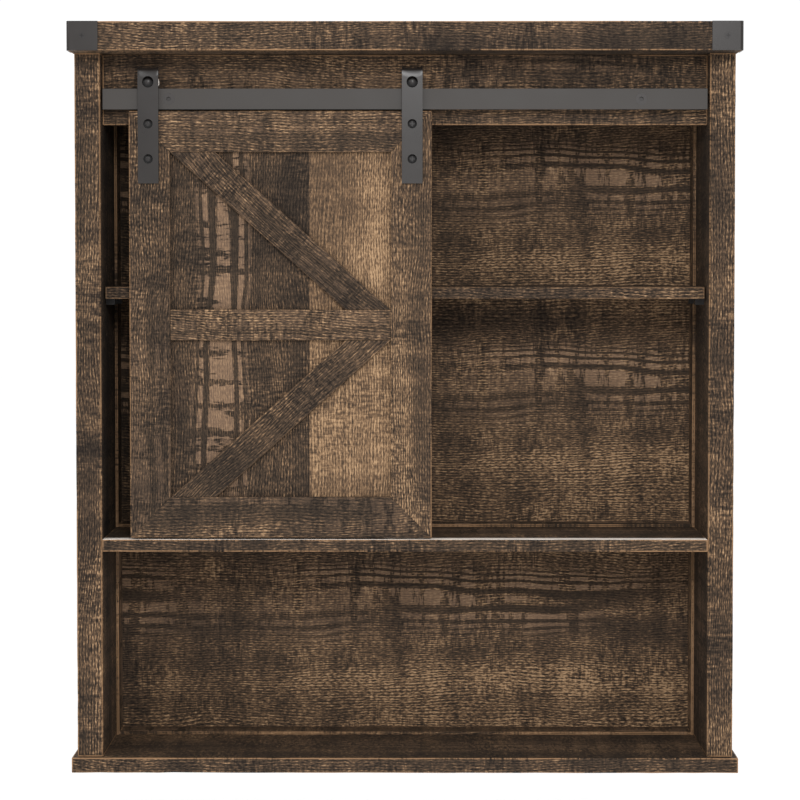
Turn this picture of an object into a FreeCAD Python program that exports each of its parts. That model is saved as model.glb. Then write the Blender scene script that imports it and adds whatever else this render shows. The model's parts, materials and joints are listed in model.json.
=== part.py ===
import FreeCAD, Part

import math
import operator
import os

import Sketcher

# A hanging wall cabinet with a sliding barn door: a carcass of boards, a flat steel track in front
# of a header board, and a framed door that hangs from it on two straps with grooved rollers.
#
# Frame: +Z up, -Y out of the front, +Y into the wall. The origin is the middle of the two wall
# screws, in the plane of the wall. Heights below are counted from the cabinet's foot, and place()
# takes them to that origin. Depths are counted back from the front edge of the sides.

SIZES = [
    # carcass
    ("inner_width", 590, "clear width between the sides"),
    ("side_thickness", 25, "thickness of a side"),
    ("side_depth", 146, "front edge of a side to the wall"),
    ("side_height", 685, "height of a side"),
    ("side_ease", 1.2, "chamfer along the inner front arris of a side"),
    ("bottom_thickness", 15, "thickness of the bottom board"),
    ("bottom_side_overhang", 5, "bottom board past each side"),
    ("bottom_front_overhang", 6, "bottom board past the sides' front"),
    ("top_thickness", 28, "thickness of the top board"),
    ("top_side_overhang", 1.8, "top board past each side"),
    ("top_front_overhang", 32.8, "top board past the sides' front"),
    ("top_corner_radius", 2, "round on the front corners of the top board"),
    ("back_thickness", 3, "thickness of the back panel"),
    ("rabbet_width", 8, "width of the rabbet that takes the back panel"),
    ("panel_gap", 0.5, "back panel to the end of its rabbet"),
    ("back_strip_thickness", 3, "lining strip, how far it stands proud"),
    ("back_strip_depth", 30, "lining strip, front to back"),
    # shelves and boards between the sides
    ("shelf_thickness", 12, "thickness of both shelves"),
    ("shelf_ease", 0.8, "chamfer along the top front arris of a shelf"),
    ("fixed_shelf_height", 216, "foot of the cabinet to the fixed shelf's underside"),
    ("loose_shelf_rise", 234, "fixed shelf's top to the loose shelf's underside"),
    ("loose_shelf_setback", 20, "loose shelf's front behind the sides' front"),
    ("shelf_end_gap", 2, "loose shelf to a side"),
    ("shelf_back_gap", 1, "loose shelf to the back panel"),
    ("notch_clearance", 1, "loose shelf's notch to the lining strip"),
    ("header_height", 68.5, "height of the header board"),
    ("header_thickness", 12, "thickness of the header board"),
    ("header_setback", 20, "header's front behind the sides' front"),
    ("hanging_rail_height", 60, "height of the hanging rail"),
    ("hanging_rail_thickness", 15, "thickness of the hanging rail"),
    ("wall_screw_spacing", 406.4, "between the two wall screws, one stud bay"),
    ("wall_screw_hole", 6.5, "hole for a wall screw"),
    # shelf pins
    ("pin_diameter", 5, "peg of a shelf pin and its hole's nominal size"),
    ("pin_depth", 8, "how far a peg goes into the side"),
    ("pin_reach", 9, "how far a pin's block stands out of the side"),
    ("pin_block_width", 8, "block of a shelf pin, front to back"),
    ("pin_block_height", 6, "block of a shelf pin, top to bottom"),
    ("pin_front_setback", 45, "front pins behind the sides' front"),
    ("pin_back_setback", 100, "back pins behind the sides' front"),
    ("pin_pitch", 32, "between two heights of pin holes"),
    # dowels and screws
    ("fit", 0.05, "gap all round a dowel, shank or pin in its hole"),
    ("dowel_diameter", 6, "dowels in the shelf, header and hanging rail"),
    ("dowel_length", 30, "length of those dowels"),
    ("top_dowel_diameter", 8, "dowels between the sides and the top board"),
    ("top_dowel_length", 30, "length of those dowels"),
    ("dowel_end_gap", 0.5, "dowel's end to the bottom of its hole"),
    ("dowel_edge", 35, "outer dowels and screws from the front and back edges of a board"),
    ("bottom_screw_head", 8.5, "head of a screw through the bottom board"),
    ("bottom_screw_shank", 4, "shank of that screw"),
    ("bottom_screw_length", 50, "length of that screw"),
    ("back_screw_head", 6, "head of a screw round the back panel"),
    ("back_screw_shank", 3, "shank of that screw"),
    ("back_screw_length", 16, "length of that screw"),
    ("back_screw_inset", 60, "first and last back screws from the ends of a side"),
    ("corner_plate_length", 30, "leg of a corner plate"),
    ("corner_plate_thickness", 1.2, "sheet of a corner plate"),
    ("corner_screw_head", 6.6, "head of a corner plate's screw"),
    ("corner_screw_shank", 3, "shank of that screw"),
    ("corner_screw_length", 12, "length of that screw"),
    # track
    ("track_drop", 34, "top board's underside to the track's top edge"),
    ("track_height", 20, "height of the track's bar"),
    ("track_thickness", 4, "thickness of the track's bar"),
    ("track_setback", 3.6, "track's front behind the sides' front"),
    ("track_end_gap", 2, "track's end to a side"),
    ("track_bolt_inset", 64, "track bolt from the track's end"),
    ("track_bolt_head", 11.6, "countersunk head of a track bolt"),
    ("track_bolt_shank", 6, "shank of a track bolt"),
    ("track_bolt_head_height", 2.8, "height of that head"),
    ("hex_recess", 4, "hexagon socket of a track bolt, across its flats"),
    ("hex_recess_depth", 2, "depth of that socket"),
    ("spacer_diameter", 9, "spacer between the track and the header"),
    ("nut_width", 10, "nuts, across their flats"),
    ("nut_height", 4, "height of a nut"),
    ("bolt_past_nut", 1, "how far a bolt's end stands out of its nut"),
    # door
    ("door_width", 294, "width of the door"),
    ("door_rest_gap", 27.3, "closed door to the left side"),
    ("door_setback", 1, "door's front behind the sides' front"),
    ("door_track_gap", 1.5, "door's top edge to the track"),
    ("door_foot_gap", 1.5, "door's foot to the fixed shelf"),
    ("panel_thickness", 10, "thickness of the door's plank panel"),
    ("trim_thickness", 6, "thickness of the frame, bar and braces on it"),
    ("frame_width", 40, "width of the door's frame"),
    ("frame_ease", 0.8, "chamfer along the outer arris of the door's frame"),
    ("bar_width", 30, "width of the middle bar"),
    ("brace_foot", 44.4, "width of a brace where it meets the frame"),
    # glide strip and its fin
    ("strip_lip", 0.8, "wood left in front of the glide strip"),
    ("strip_width", 14, "width of the rebate for the glide strip"),
    ("strip_thickness", 1, "thickness of the glide strip"),
    ("strip_fit", 0.1, "glide strip to the wall of its rebate"),
    ("strip_end_gap", 0.5, "glide strip's end to a side"),
    ("fin_length", 40, "length of the fin, in the middle of the opening"),
    ("fin_thickness", 3, "thickness of the fin"),
    ("fin_height", 6, "height of the fin above the strip"),
    ("groove_clearance", 0.5, "fin to the wall of the door's groove"),
    ("groove_top_gap", 1.5, "fin's top to the bottom of the groove"),
    # straps and rollers
    ("strap_width", 20, "width of a hanger strap"),
    ("strap_thickness", 3, "thickness of a hanger strap"),
    ("strap_inset", 19.2, "middle of a strap from the door's edge"),
    ("strap_drop", 70.3, "how far a strap comes down over the door"),
    ("strap_bend", 4, "outer radius where a strap bends back over its roller"),
    ("strap_lip", 7, "front of a strap to the end of its bent top"),
    ("strap_scoop", 1.5, "how deep the top of a strap is scooped"),
    ("strap_roller_gap", 1.8, "roller's rim to the bent top of the strap"),
    ("strap_screw_drop", 12.7, "upper strap screw below the door's top"),
    ("strap_screw_pitch", 33.9, "between the two screws of a strap"),
    ("strap_screw_head", 9, "head of a strap screw"),
    ("strap_screw_head_height", 2.2, "height of that head"),
    ("strap_screw_shank", 4, "shank of that screw"),
    ("strap_screw_length", 17, "length of that screw"),
    ("roller_diameter", 20, "rim of a roller"),
    ("tread_radius", 6, "tread of a roller, in the bottom of its groove"),
    ("tread_gap", 0.2, "tread to the track's top edge"),
    ("groove_gap", 0.3, "track to each flange of a roller"),
    ("flange_width", 1.5, "flange of a roller"),
    ("hub_rise", 0.4, "roller's hub past its flanges"),
    ("hub_diameter", 9, "roller's hub"),
    ("axle_diameter", 6, "axle bolt of a roller"),
    ("axle_head", 11, "domed head of an axle bolt"),
    ("axle_head_height", 3, "height of that head"),
    ("axle_nut_gap", 0.3, "roller's hub to the nut behind it"),
    # cross recesses, as shares of a head's width
    ("recess_length_share", 0.55, "arm to arm of a cross recess, of its head's width"),
    ("recess_width_share", 0.14, "width of an arm, of its head's width"),
    ("recess_depth", 1, "depth of a cross recess"),
]

PARTS_FOLDER = "parts"
NO_TURN = FreeCAD.Rotation()
FACE_FRONT = FreeCAD.Rotation(FreeCAD.Vector(1, 0, 0), 90)
FACE_BACK = FreeCAD.Rotation(FreeCAD.Vector(1, 0, 0), -90)
FACE_DOWN = FreeCAD.Rotation(FreeCAD.Vector(1, 0, 0), 180)
FACE_LEFT = FreeCAD.Rotation(FreeCAD.Vector(0, 1, 0), -90)
FACE_RIGHT = FreeCAD.Rotation(FreeCAD.Vector(0, 1, 0), 90)
HALF_TURN = FreeCAD.Rotation(FreeCAD.Vector(0, 0, 1), 180)
UPRIGHT = FreeCAD.Rotation(FreeCAD.Vector(0, 1, 0), -90)

doc = FreeCAD.newDocument("barn_door_wall_cabinet")
sub_parts = []


# ---------------------------------------------------------------- sizes that stay formulas

OPERATIONS = {"+": operator.add, "-": operator.sub, "*": operator.mul, "/": operator.truediv}


class Size:
    """A number and the spreadsheet formula it comes from, so that sums of sizes stay formulas."""

    def __init__(self, number, formula):
        self.number = number
        self.formula = formula

    def __add__(self, other):
        return combined(self, "+", other)

    def __radd__(self, other):
        return combined(other, "+", self)

    def __sub__(self, other):
        return combined(self, "-", other)

    def __rsub__(self, other):
        return combined(other, "-", self)

    def __mul__(self, other):
        return combined(self, "*", other)

    def __rmul__(self, other):
        return combined(other, "*", self)

    def __truediv__(self, other):
        return combined(self, "/", other)

    def __neg__(self):
        return combined(0, "-", self)


def as_size(value):
    """A plain number as a Size, and a Size as it is."""
    if isinstance(value, Size):
        return value
    return Size(float(value), f"({float(value)})")


def combined(left, sign, right):
    """The Size that two values make together."""
    left = as_size(left)
    right = as_size(right)
    number = OPERATIONS[sign](left.number, right.number)
    return Size(number, f"({left.formula} {sign} {right.formula})")


class Sheet:
    """The spreadsheet of driving sizes, each read as an attribute of the same name."""

    def __init__(self, rows):
        self.table = doc.addObject("Spreadsheet::Sheet", "sizes")
        for row, (name, number, meaning) in enumerate(rows, start=1):
            self.table.set(f"A{row}", meaning)
            self.table.set(f"B{row}", str(number))
            self.table.setAlias(f"B{row}", name)
            setattr(self, name, Size(float(number), f"sizes.{name}"))
        doc.recompute()


size = Sheet(SIZES)


# ---------------------------------------------------------------- drawing helpers

def bind(thing, name, value):
    """Give a property its number and the formula that drives it."""
    value = as_size(value)
    setattr(thing, name, value.number)
    thing.setExpression(name, value.formula)


def place(thing, x, depth, height, turn=NO_TURN):
    """Put a piece at x from the middle, depth behind the sides' front, height above the foot."""
    thing.Placement = FreeCAD.Placement(FreeCAD.Vector(), turn)
    values = {"x": x, "y": depth - size.side_depth, "z": height - wall_screw_height}
    for axis, value in values.items():
        thing.setExpression(f"Placement.Base.{axis}", as_size(value).formula)


def new_body(label):
    """An empty body. Its sketches are drawn in its own frame, and place() moves it."""
    body = doc.addObject("PartDesign::Body", label)
    body.Label = label
    return body


def new_sketch(body, role, level=0):
    """A sketch on one of the body's own planes, level along that plane's axis (X, Y or Z)."""
    sketch = body.newObject("Sketcher::SketchObject", "Sketch")
    plane = next(item for item in body.Origin.OriginFeatures if item.Role == role)
    sketch.AttachmentSupport = (plane, [""])
    sketch.MapMode = "FlatFace"
    offset = -as_size(level) if role == "XZ_Plane" else as_size(level)
    sketch.setExpression("AttachmentOffset.Base.z", offset.formula)
    return sketch


def pin(sketch, geometry, point, across, up):
    """Tie one point of a sketch to the sketch's two axes."""
    for kind, axis_line, value in (("DistanceX", -2, across), ("DistanceY", -1, up)):
        if not isinstance(value, Size) and value == 0:
            sketch.addConstraint(Sketcher.Constraint("PointOnObject", geometry, point, axis_line))
            continue
        value = as_size(value)
        rule = Sketcher.Constraint(kind, -1, 1, geometry, point, value.number)
        sketch.setExpression(f"Constraints[{sketch.addConstraint(rule)}]", value.formula)


def vector(corner):
    """The corner's numbers as a point of the sketch's plane."""
    return FreeCAD.Vector(as_size(corner[0]).number, as_size(corner[1]).number, 0)


def arc_between(start, end, radius):
    """The short arc between two points; a positive radius turns left on the way."""
    chord = end - start
    middle = (start + end) * 0.5
    left = FreeCAD.Vector(-chord.y, chord.x, 0).normalize()
    reach = math.sqrt(max(radius * radius - chord.Length ** 2 / 4, 0))
    turn = math.copysign(1, radius)
    centre = middle + left * reach * turn
    crest = centre - left * abs(radius) * turn
    if turn < 0:
        return Part.Arc(end, crest, start)
    return Part.Arc(start, crest, end)


def draw_outline(sketch, corners):
    """Draw a closed outline. A corner (x, y) is reached by a line, (x, y, radius) by an arc."""
    first = sketch.GeometryCount
    count = len(corners)
    ends = []
    for index, corner in enumerate(corners):
        start = vector(corners[index - 1])
        end = vector(corner)
        if len(corner) == 2:
            sketch.addGeometry(Part.LineSegment(start, end))
        else:
            sketch.addGeometry(arc_between(start, end, as_size(corner[2]).number))
        drawn = sketch.Geometry[first + index]
        forward = (drawn.StartPoint - start).Length < (drawn.EndPoint - start).Length
        ends.append((1, 2) if forward else (2, 1))
    for index, corner in enumerate(corners):
        edge = first + index
        following = first + (index + 1) % count
        following_start = ends[(index + 1) % count][0]
        sketch.addConstraint(
            Sketcher.Constraint("Coincident", edge, ends[index][1], following, following_start))
        pin(sketch, edge, ends[index][1], corner[0], corner[1])
        if len(corner) == 3:
            radius = as_size(corner[2])
            rule = Sketcher.Constraint("Radius", edge, abs(radius.number))
            formula = radius.formula if radius.number > 0 else (-radius).formula
            sketch.setExpression(f"Constraints[{sketch.addConstraint(rule)}]", formula)


def draw_circle(sketch, across, up, diameter):
    """Draw a circle tied to the sketch's axes."""
    radius = as_size(diameter).number / 2
    circle = Part.Circle(vector((across, up)), FreeCAD.Vector(0, 0, 1), radius)
    geometry = sketch.addGeometry(circle)
    pin(sketch, geometry, 3, across, up)
    rule = Sketcher.Constraint("Diameter", geometry, as_size(diameter).number)
    sketch.setExpression(f"Constraints[{sketch.addConstraint(rule)}]", as_size(diameter).formula)


def rectangle(left, low, right, high):
    """The corners of a rectangle."""
    return [(left, low), (right, low), (right, high), (left, high)]


def mirrored(corners, width):
    """The same outline seen in a mirror, within its own width."""
    flipped = []
    for corner in corners:
        turned = [width - corner[0], corner[1]]
        if len(corner) == 3:
            turned.append(-corner[2])
        flipped.append(tuple(turned))
    return flipped


def pad(body, role, corners, thickness, level=0):
    """Add a plate with this outline, growing along the plane's axis from the level."""
    sketch = new_sketch(body, role, level)
    draw_outline(sketch, corners)
    feature = body.newObject("PartDesign::Pad", "Pad")
    feature.Profile = sketch
    bind(feature, "Length", thickness)
    feature.Reversed = role == "XZ_Plane"
    doc.recompute()
    return feature


def finish_cut(body, sketch, role, depth, toward):
    """Sink a drawn sketch into the body, toward +1 or -1 along the plane's axis."""
    before = body.Shape.Volume
    feature = body.newObject("PartDesign::Pocket", "Pocket")
    feature.Profile = sketch
    bind(feature, "Length", depth)
    feature.Reversed = (toward > 0) != (role == "XZ_Plane")
    doc.recompute()
    if body.Shape.Volume >= before - 1e-6:
        raise RuntimeError(f"{body.Label}: a cut on {role} removes nothing")


def cut(body, role, corners, depth, toward, level=0):
    """Cut an outline out of the body."""
    sketch = new_sketch(body, role, level)
    draw_outline(sketch, corners)
    finish_cut(body, sketch, role, depth, toward)


def drill(body, role, spots, diameter, depth, toward, level=0):
    """Drill one hole at each spot."""
    sketch = new_sketch(body, role, level)
    for across, up in spots:
        draw_circle(sketch, across, up, diameter)
    finish_cut(body, sketch, role, depth, toward)


def countersink(body, spots, turn, head, shank, depth):
    """Sink a cone at each (x, y, z) of the body's own frame; turn faces the wide end outwards."""
    inward = turn.multVec(FreeCAD.Vector(0, 0, -1))
    for spot in spots:
        before = body.Shape.Volume
        cone = body.newObject("PartDesign::SubtractiveCone", "Countersink")
        bind(cone, "Radius1", shank / 2 + size.fit)
        bind(cone, "Radius2", head / 2 + size.fit)
        bind(cone, "Height", depth)
        cone.Placement = FreeCAD.Placement(FreeCAD.Vector(), turn)
        for axis, value, step in zip("xyz", spot, inward):
            shifted = as_size(value) + round(step) * as_size(depth)
            cone.setExpression(f"Placement.Base.{axis}", shifted.formula)
        doc.recompute()
        if body.Shape.Volume >= before - 1e-6:
            raise RuntimeError(f"{body.Label}: a countersink removes nothing")


def ease(body, amount, on_arris):
    """Chamfer the edges whose two ends the test accepts."""
    doc.recompute()
    tip = body.Tip
    names = []
    for number, edge in enumerate(tip.Shape.Edges, start=1):
        if all(on_arris(end.Point) for end in edge.Vertexes):
            names.append(f"Edge{number}")
    if not names:
        raise RuntimeError(f"{body.Label}: no edge to ease")
    chamfer = body.newObject("PartDesign::Chamfer", "Ease")
    chamfer.Base = (tip, names)
    bind(chamfer, "Size", amount)
    doc.recompute()


def near(value, target):
    """True when a coordinate is at a size."""
    return abs(value - as_size(target).number) < 0.01


def turn_profile(body, corners):
    """Turn a profile of radii and heights about the body's own Z axis."""
    sketch = new_sketch(body, "XZ_Plane")
    draw_outline(sketch, corners)
    feature = body.newObject("PartDesign::Revolution", "Turned")
    feature.Profile = sketch
    feature.ReferenceAxis = (sketch, ["V_Axis"])
    feature.Angle = 360
    doc.recompute()


def keep(thing, x, depth, height, turn=NO_TURN):
    """Place a finished sub-part and list it for export."""
    place(thing, x, depth, height, turn)
    sub_parts.append(thing)


def keep_group(label, master, spots):
    """Repeat one fastener at each (x, depth, height, turn), as separate solids of one sub-part."""
    links = []
    for x, depth, height, turn in spots:
        link = doc.addObject("App::Link", f"{label}_copy")
        link.LinkedObject = master
        place(link, x, depth, height, turn)
        links.append(link)
    group = doc.addObject("Part::Compound", label)
    group.Label = label
    group.Links = links
    sub_parts.append(group)


# ---------------------------------------------------------------- places worked out from sizes

half_width = size.inner_width / 2
outer_half_width = half_width + size.side_thickness
side_foot = size.bottom_thickness
side_top = side_foot + size.side_height
inner_depth = size.side_depth - size.back_thickness
shelf_top = size.fixed_shelf_height + size.shelf_thickness
loose_shelf_height = shelf_top + size.loose_shelf_rise
header_foot = side_top - size.header_height
header_middle_depth = size.header_setback + size.header_thickness / 2
hanging_rail_foot = side_top - size.hanging_rail_height
hanging_rail_depth = inner_depth - size.hanging_rail_thickness
wall_screw_height = hanging_rail_foot + size.hanging_rail_height / 2
strips_depth = inner_depth - size.back_strip_depth

track_top = side_top - size.track_drop
track_foot = track_top - size.track_height
track_middle = track_foot + size.track_height / 2
track_length = size.inner_width - 2 * size.track_end_gap
track_bolt_x = track_length / 2 - size.track_bolt_inset
header_back = size.header_setback + size.header_thickness
spacer_length = size.header_setback - size.track_setback - size.track_thickness
track_bolt_length = header_back - size.track_setback + size.nut_height + size.bolt_past_nut

door_foot = shelf_top + size.door_foot_gap
door_top = track_foot - size.door_track_gap
door_height = door_top - door_foot
door_left = -half_width + size.door_rest_gap
door_right = door_left + size.door_width
panel_depth = size.door_setback + size.trim_thickness
groove_depth_place = panel_depth + size.panel_thickness / 2

strap_front = size.door_setback - size.strap_thickness
strap_foot = door_top - size.strap_drop
axle_height = track_top + size.tread_gap + size.tread_radius
strap_top = axle_height + size.roller_diameter / 2 + size.strap_roller_gap + size.strap_thickness
strap_centres = [door_left + size.strap_inset, door_right - size.strap_inset]
roller_width = size.track_thickness + 2 * size.groove_gap + 2 * size.flange_width
roller_front = size.track_setback - size.groove_gap - size.flange_width
axle_nut_front = roller_front + roller_width + size.hub_rise + size.axle_nut_gap
axle_length = axle_nut_front + size.nut_height + size.bolt_past_nut - strap_front

dowel_hole = size.dowel_diameter + 2 * size.fit
dowel_sink = size.dowel_length / 2 + size.dowel_end_gap
pin_hole = size.pin_diameter + 2 * size.fit
pin_height = loose_shelf_height - size.pin_diameter / 2
shelf_dowel_depths = [size.dowel_edge, size.side_depth - size.dowel_edge]
shelf_dowel_height = size.fixed_shelf_height + size.shelf_thickness / 2
header_dowel_heights = [
    header_foot + size.header_height / 4,
    header_foot + size.header_height * 3 / 4,
]
hanging_dowel_heights = [
    hanging_rail_foot + size.hanging_rail_height / 4,
    hanging_rail_foot + size.hanging_rail_height * 3 / 4,
]
hanging_dowel_depth = hanging_rail_depth + size.hanging_rail_thickness / 2
back_screw_x = half_width + size.rabbet_width / 2
back_screw_span = size.side_height - 2 * size.back_screw_inset
back_screw_heights = [
    side_foot + size.back_screw_inset + back_screw_span * step / 3 for step in range(4)
]


def dowel_places():
    """Depth and height of every dowel that goes into a side."""
    places = [(depth, shelf_dowel_height) for depth in shelf_dowel_depths]
    places += [(header_middle_depth, height) for height in header_dowel_heights]
    places += [(hanging_dowel_depth, height) for height in hanging_dowel_heights]
    return places


# ---------------------------------------------------------------- carcass boards

def make_side(label, on_left):
    """A side: rabbet behind, bores for dowels, pins and screws, a soft inner front arris."""
    thickness = size.side_thickness
    outline = [
        (0, 0),
        (thickness, 0),
        (thickness, inner_depth),
        (thickness - size.rabbet_width, inner_depth),
        (thickness - size.rabbet_width, size.side_depth),
        (0, size.side_depth),
    ]
    body = new_body(label)
    pad(body, "XY_Plane", outline if on_left else mirrored(outline, thickness), size.side_height)
    inner_face = thickness if on_left else 0
    into_side = -1 if on_left else 1
    dowels = [(depth, height - side_foot) for depth, height in dowel_places()]
    drill(body, "YZ_Plane", dowels, dowel_hole, dowel_sink, into_side, inner_face)
    pins = []
    for depth in (size.pin_front_setback, size.pin_back_setback):
        for step in (-1, 0, 1):
            pins.append((depth, pin_height + step * size.pin_pitch - side_foot))
    drill(body, "YZ_Plane", pins, pin_hole, size.pin_depth + size.dowel_end_gap, into_side, inner_face)
    middle = thickness / 2
    ends = [(middle, depth) for depth in shelf_dowel_depths]
    drill(body, "XY_Plane", ends, size.top_dowel_diameter + 2 * size.fit,
          size.top_dowel_length / 2 + size.dowel_end_gap, -1, size.side_height)
    drill(body, "XY_Plane", ends, size.bottom_screw_shank + 2 * size.fit,
          size.bottom_screw_length - size.bottom_thickness + size.dowel_end_gap, 1)
    rabbet_middle = size.rabbet_width / 2
    screw_x = thickness - rabbet_middle if on_left else rabbet_middle
    screws = [(screw_x, height - side_foot) for height in back_screw_heights]
    drill(body, "XZ_Plane", screws, size.back_screw_shank + 2 * size.fit,
          size.back_screw_length - size.back_thickness + size.dowel_end_gap, -1, inner_depth)
    ease(body, size.side_ease, lambda point: near(point.x, inner_face) and near(point.y, 0))
    keep(body, -outer_half_width if on_left else half_width, 0, side_foot)


def make_bottom_board():
    """The bottom board: screw holes under the sides and a rabbet for the back panel."""
    length = 2 * (outer_half_width + size.bottom_side_overhang)
    depth = size.side_depth + size.bottom_front_overhang
    body = new_body("bottom_board")
    pad(body, "XY_Plane", rectangle(0, 0, length, depth), size.bottom_thickness)
    side_middle = size.bottom_side_overhang + size.side_thickness / 2
    spots = []
    for x in (side_middle, length - side_middle):
        for screw_depth in shelf_dowel_depths:
            spots.append((x, screw_depth + size.bottom_front_overhang))
    drill(body, "XY_Plane", spots, size.bottom_screw_shank + 2 * size.fit,
          size.bottom_thickness, 1)
    head_height = (size.bottom_screw_head - size.bottom_screw_shank) / 2
    sinks = [(x, y, 0) for x, y in spots]
    countersink(body, sinks, FACE_DOWN, size.bottom_screw_head, size.bottom_screw_shank, head_height)
    start = size.bottom_side_overhang + size.side_thickness - size.rabbet_width
    rabbet = rectangle(start, depth - size.back_thickness, length - start, depth)
    cut(body, "XY_Plane", rabbet, size.rabbet_width, -1, size.bottom_thickness)
    keep(body, -length / 2, -size.bottom_front_overhang, 0)


def make_top_board():
    """The top board: rounded front corners, dowel bores, plate screws and a rabbet behind."""
    length = 2 * (outer_half_width + size.top_side_overhang)
    depth = size.side_depth + size.top_front_overhang
    radius = size.top_corner_radius
    outline = [
        (radius, 0),
        (length - radius, 0),
        (length, radius, radius),
        (length, depth),
        (0, depth),
        (0, radius),
        (radius, 0, radius),
    ]
    body = new_body("top_board")
    pad(body, "XY_Plane", outline[1:], size.top_thickness)
    side_middle = size.top_side_overhang + size.side_thickness / 2
    spots = []
    for x in (side_middle, length - side_middle):
        for dowel_depth in shelf_dowel_depths:
            spots.append((x, dowel_depth + size.top_front_overhang))
    drill(body, "XY_Plane", spots, size.top_dowel_diameter + 2 * size.fit,
          size.top_dowel_length / 2 + size.dowel_end_gap, 1)
    start = size.top_side_overhang + size.side_thickness - size.rabbet_width
    rabbet = rectangle(start, depth - size.back_thickness, length - start, depth)
    cut(body, "XY_Plane", rabbet, size.rabbet_width, 1)
    reach = size.corner_plate_length / 2 - size.corner_plate_thickness
    middle = size.top_thickness / 2
    bore = size.corner_screw_shank + 2 * size.fit
    sink = size.corner_screw_length - size.corner_plate_thickness + size.dowel_end_gap
    drill(body, "XZ_Plane", [(reach, middle), (length - reach, middle)], bore, sink, 1)
    drill(body, "YZ_Plane", [(reach, middle)], bore, sink, 1)
    drill(body, "YZ_Plane", [(reach, middle)], bore, sink, -1, length)
    keep(body, -length / 2, -size.top_front_overhang, side_top)


def drill_dowel_ends(body, length, places):
    """Bore a board's two ends for the dowels that hold it between the sides."""
    drill(body, "YZ_Plane", places, dowel_hole, dowel_sink, 1)
    drill(body, "YZ_Plane", places, dowel_hole, dowel_sink, -1, length)


def make_fixed_shelf():
    """The fixed shelf: flush with the sides, with a shallow rebate for the glide strip."""
    body = new_body("fixed_shelf")
    length = size.inner_width
    pad(body, "XY_Plane", rectangle(0, 0, length, inner_depth), size.shelf_thickness)
    rebate = rectangle(0, size.strip_lip, length, size.strip_lip + size.strip_width)
    cut(body, "XY_Plane", rebate, size.strip_thickness, -1, size.shelf_thickness)
    middle = size.shelf_thickness / 2
    drill_dowel_ends(body, length, [(depth, middle) for depth in shelf_dowel_depths])
    keep(body, -half_width, 0, size.fixed_shelf_height)


def make_loose_shelf():
    """The shelf on pins: shorter than the opening, notched round the lining strips."""
    length = size.inner_width - 2 * size.shelf_end_gap
    depth = inner_depth - size.loose_shelf_setback - size.shelf_back_gap
    notch_x = size.back_strip_thickness - size.shelf_end_gap + size.notch_clearance
    notch_y = depth - (size.back_strip_depth - size.shelf_back_gap + size.notch_clearance)
    outline = [
        (0, 0),
        (length, 0),
        (length, notch_y),
        (length - notch_x, notch_y),
        (length - notch_x, depth),
        (notch_x, depth),
        (notch_x, notch_y),
        (0, notch_y),
    ]
    body = new_body("adjustable_shelf")
    pad(body, "XY_Plane", outline, size.shelf_thickness)
    top = size.shelf_thickness
    ease(body, size.shelf_ease, lambda point: near(point.y, 0) and near(point.z, top))
    keep(body, -length / 2, size.loose_shelf_setback, loose_shelf_height)


def make_header_board():
    """The header board that carries the track."""
    body = new_body("header_board")
    length = size.inner_width
    pad(body, "XZ_Plane", rectangle(0, 0, length, size.header_height), size.header_thickness)
    bolts = [(half_width + side * track_bolt_x, track_middle - header_foot) for side in (-1, 1)]
    drill(body, "XZ_Plane", bolts, size.track_bolt_shank + 2 * size.fit, size.header_thickness, 1)
    middle = size.header_thickness / 2
    drill_dowel_ends(body, length, [(middle, at - header_foot) for at in header_dowel_heights])
    keep(body, -half_width, size.header_setback, header_foot)


def wall_screw_spots(left, foot):
    """The two wall-screw holes in a board whose lower left corner is given."""
    spots = []
    for side in (-1, 1):
        spots.append((side * size.wall_screw_spacing / 2 - left, wall_screw_height - foot))
    return spots


def make_hanging_rail():
    """The rail behind the header that takes the wall screws."""
    body = new_body("hanging_rail")
    thickness = size.hanging_rail_thickness
    pad(body, "XZ_Plane", rectangle(0, 0, size.inner_width, size.hanging_rail_height), thickness)
    drill(body, "XZ_Plane", wall_screw_spots(-half_width, hanging_rail_foot),
          size.wall_screw_hole, thickness, 1)
    ends = [(thickness / 2, height - hanging_rail_foot) for height in hanging_dowel_heights]
    drill_dowel_ends(body, size.inner_width, ends)
    keep(body, -half_width, hanging_rail_depth, hanging_rail_foot)


def make_back_panel():
    """The back panel, flush in its rabbets, with holes for its own and the wall's screws."""
    half = half_width + size.rabbet_width - size.panel_gap
    foot = side_foot - size.rabbet_width + size.panel_gap
    top = side_top + size.rabbet_width - size.panel_gap
    thickness = size.back_thickness
    body = new_body("back_panel")
    pad(body, "XZ_Plane", rectangle(0, 0, 2 * half, top - foot), thickness)
    drill(body, "XZ_Plane", wall_screw_spots(-half, foot), size.wall_screw_hole, thickness, 1)
    spots = []
    for side in (-1, 1):
        for height in back_screw_heights:
            spots.append((half + side * back_screw_x, height - foot))
    drill(body, "XZ_Plane", spots, size.back_screw_shank + 2 * size.fit, thickness, 1)
    head_height = (size.back_screw_head - size.back_screw_shank) / 2
    sinks = [(x, thickness, z) for x, z in spots]
    countersink(body, sinks, FACE_BACK, size.back_screw_head, size.back_screw_shank, head_height)
    keep(body, -half, inner_depth, foot)


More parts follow.
